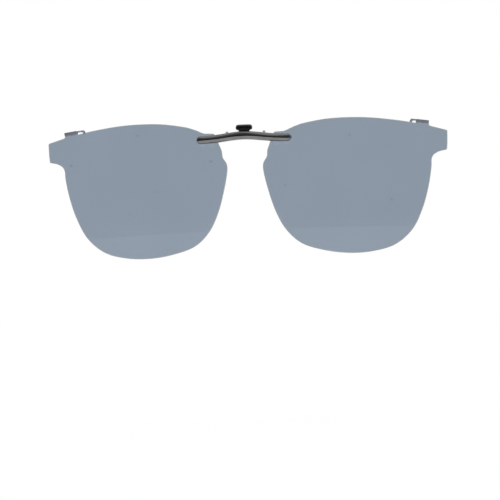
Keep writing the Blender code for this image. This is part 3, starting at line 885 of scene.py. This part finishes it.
def tab_frame():
    """Axes of the lens's temporal tab: its middle, along its top, backwards and up."""
    ends = [Vector((u, lens_front(u, z) + LENS_THICK / 2, z)) for u, z in (TAB_NASAL, TAB_TEMPORAL)]
    along = (ends[1] - ends[0]).normalized()
    middle = (ends[0] + ends[1]) / 2
    slope = lens_front(middle.x, middle.z - 1) - lens_front(middle.x, middle.z)
    down = Vector((0.0, slope, -1.0)).normalized()
    back = along.cross(-down).normalized()
    if back.y < 0:
        back = -back
    up = along.cross(back).normalized()
    if up.z < 0:
        up = -up
    return middle, along, back, up


def saddle_outline():
    """Channel section over the lens's edge, as (backwards, up)."""
    half = LENS_THICK / 2 + SADDLE_SLACK
    out = half + SADDLE_WALL
    top = SADDLE_SLACK + SADDLE_WALL
    y, z = out - SADDLE_BEND, top - SADDLE_BEND
    arc = [math.pi / 2 * i / 8 for i in range(9)]
    rear_bend = [(y + SADDLE_BEND * math.cos(a), z + SADDLE_BEND * math.sin(a)) for a in arc]
    front_bend = [(-y, z) for y, z in rear_bend[::-1]]
    rear_leg = [(half, SADDLE_SLACK), (half, -SADDLE_REAR), (out, -SADDLE_REAR)]
    front_leg = [(-out, -SADDLE_FRONT), (-half, -SADDLE_FRONT), (-half, SADDLE_SLACK)]
    return rear_leg + rear_bend + front_bend + front_leg


def add_temporal_hook(side, mirrored, body):
    """Folded saddle on the lens's tab with an arm brazed to its back."""
    middle, along, back, up = tab_frame()

    def at(s, n, t):
        return middle + along * s + back * n + up * t

    half = SADDLE_LENGTH / 2
    saddle = loft([[at(s, n, t) for n, t in saddle_outline()] for s in (-half, half)])
    route = [(-1.0, 0.96, -0.4), (-1.6, 1.05, -0.12), (-2.3, 1.5, 0.0), (-3.0, 2.3, 0.03),
             (-3.55, 2.95, -0.02), (-3.8, 3.25, -0.25), (-3.85, 3.3, -0.6)]
    path = smooth_run([at(*p) for p in route], ROUTE_STEPS)
    hook = add_mesh(f"{side}_temporal_hook_finish", saddle, [SATIN_METAL], mirrored)
    soften(hook, 0.05)
    arm = add_mesh("tool", wire(path, WIRE_R), [SATIN_METAL], mirrored)
    boolean(hook, [arm], "UNION")
    own(hook, body, f"{side}_temporal_hook")
    add_piece(f"{side}_temporal_sleeve", sleeve(path, TEMPORAL_SLEEVE_START), "clear_silicone",
              body, mirrored)


def add_side(side, sign):
    body = f"{side}_slide"
    add_spring(side, sign)
    add_rod(side, sign, body)
    add_bracket(side, sign, body)
    add_lens(side, sign < 0, body)
    add_fasteners(side, sign < 0, body)
    add_nasal_hook(side, sign < 0, body)
    add_temporal_hook(side, sign < 0, body)


# ---------------------------------------------------------------- studio

CAMERA_AZIMUTH = math.radians(8.251)
CAMERA_ELEVATION = math.radians(3.8)
CAMERA_ROLL = math.radians(-2.307)
CAMERA_DISTANCE = 1350.0
CAMERA_LENS = 271.8
AIM_RIGHT = 0.236         # where the view's middle lies, level and upright from the origin
AIM_UP = -40.327
FLOOR_DROP = 55.0         # the clip hangs this far above the floor
FLOOR_RADIUS = 0.4
# Brightness of the mirrored room against the height of the direction, straight down to up
FRONT_SKY = [(-1.0, 0.9), (-0.24, 0.9), (-0.13, 0.03), (0.16, 0.02), (0.30, 0.12), (0.75, 0.20),
             (1.0, 0.36)]
REAR_SKY = [(-1.0, 0.9), (0.35, 0.95), (0.7, 0.6), (1.0, 0.55)]
FLOOR_GLOW = 0.555        # a light table, as bright as the white round it
FRONT_Y = -0.15           # directions with a lower Y see only the front sky
REAR_Y = 0.65             # and those with a higher Y only the rear sky
SOFTBOX_PLACE = (0.15, 0.1, 1.5)
SOFTBOX_SIZE = 1.6
SOFTBOX_POWER = 3.5


def add_camera():
    a, e = CAMERA_AZIMUTH, CAMERA_ELEVATION
    right = Vector((math.cos(a), math.sin(a), 0.0))
    up = Vector((-math.sin(a) * math.sin(e), math.cos(a) * math.sin(e), math.cos(e)))
    back = Vector((math.sin(a) * math.cos(e), -math.cos(a) * math.cos(e), math.sin(e)))
    rolled_right = right * math.cos(CAMERA_ROLL) + up * math.sin(CAMERA_ROLL)
    rolled_up = up * math.cos(CAMERA_ROLL) - right * math.sin(CAMERA_ROLL)
    place_mm = right * AIM_RIGHT + up * AIM_UP + back * CAMERA_DISTANCE
    data = bpy.data.cameras.new("camera")
    data.lens = CAMERA_LENS
    data.sensor_width = 36.0
    data.clip_start = 0.05
    data.clip_end = 60.0
    camera = bpy.data.objects.new("camera", data)
    axes = Matrix((rolled_right, rolled_up, back)).transposed()
    camera.matrix_world = Matrix.Translation(place_mm * MM) @ axes.to_4x4()
    bpy.context.scene.collection.objects.link(camera)
    bpy.context.scene.camera = camera


def add_floor():
    level = CAD_BOX[0].z - FLOOR_DROP * MM
    bm = bmesh.new()
    bmesh.ops.create_circle(bm, cap_ends=True, segments=96, radius=FLOOR_RADIUS)
    bmesh.ops.translate(bm, vec=(0, 0, level), verts=bm.verts)
    mesh = bpy.data.meshes.new("floor")
    bm.to_mesh(mesh)
    bm.free()
    mat, tree, shader = new_material("floor")
    cloud = noise(tree, place(tree), 0.004, 2.0)
    tree.links.new(ramp(tree, cloud, [(0.3, 0.93), (0.7, 0.96)]), shader.inputs["Base Color"])
    shader.inputs["Roughness"].default_value = 0.9
    shader.inputs["Specular IOR Level"].default_value = 0.0
    shader.inputs["Emission Color"].default_value = (1.0, 1.0, 1.0, 1.0)
    shader.inputs["Emission Strength"].default_value = FLOOR_GLOW
    mesh.materials.append(mat)
    floor = bpy.data.objects.new("floor", mesh)
    bpy.context.scene.collection.objects.link(floor)


def sky_band(tree, height, stops):
    return ramp(tree, height, [((z + 1.0) / 2.0, grey) for z, grey in stops])


def add_world():
    """White all round for the camera. What the pieces mirror is a white wall behind them and,
    in front, a room that is bright below, dark round the horizon and dim above."""
    world = bpy.data.worlds.new("studio")
    bpy.context.scene.world = world
    world.use_nodes = True
    tree = world.node_tree
    tree.nodes.clear()
    coords = tree.nodes.new("ShaderNodeTexCoord")
    split = tree.nodes.new("ShaderNodeSeparateXYZ")
    tree.links.new(coords.outputs["Generated"], split.inputs["Vector"])
    ranges = []
    for axis, low, high in (("Z", -1.0, 1.0), ("Y", FRONT_Y, REAR_Y)):
        node = tree.nodes.new("ShaderNodeMapRange")
        node.inputs["From Min"].default_value = low
        node.inputs["From Max"].default_value = high
        tree.links.new(split.outputs[axis], node.inputs["Value"])
        ranges.append(node.outputs["Result"])
    front = sky_band(tree, ranges[0], FRONT_SKY)
    rear = sky_band(tree, ranges[0], REAR_SKY)
    mirrored = tree.nodes.new("ShaderNodeBackground")
    tree.links.new(blend_colours(tree, ranges[1], front, rear), mirrored.inputs["Color"])
    seen = tree.nodes.new("ShaderNodeBackground")
    seen.inputs["Color"].default_value = (1.0, 1.0, 1.0, 1.0)
    path = tree.nodes.new("ShaderNodeLightPath")
    mix = tree.nodes.new("ShaderNodeMixShader")
    tree.links.new(path.outputs["Is Camera Ray"], mix.inputs["Fac"])
    tree.links.new(mirrored.outputs[0], mix.inputs[1])
    tree.links.new(seen.outputs[0], mix.inputs[2])
    output = tree.nodes.new("ShaderNodeOutputWorld")
    tree.links.new(mix.outputs[0], output.inputs["Surface"])


def add_softbox(name, place_m, size, power):
    data = bpy.data.lights.new(name, "AREA")
    data.shape = "SQUARE"
    data.size = size
    data.energy = power
    light = bpy.data.objects.new(name, data)
    light.location = place_m
    aim = Vector((0, 0, -0.02)) - Vector(place_m)
    light.rotation_euler = aim.to_track_quat("-Z", "Y").to_euler()
    bpy.context.scene.collection.objects.link(light)


# ---------------------------------------------------------------- scene

add_camera()
add_bar()
add_housing()
add_knob()
for lens_side, lens_sign in (("left", -1), ("right", 1)):
    add_side(lens_side, lens_sign)
add_floor()
add_world()
add_softbox("overhead", SOFTBOX_PLACE, SOFTBOX_SIZE, SOFTBOX_POWER)
bpy.context.scene.view_settings.view_transform = "Standard"
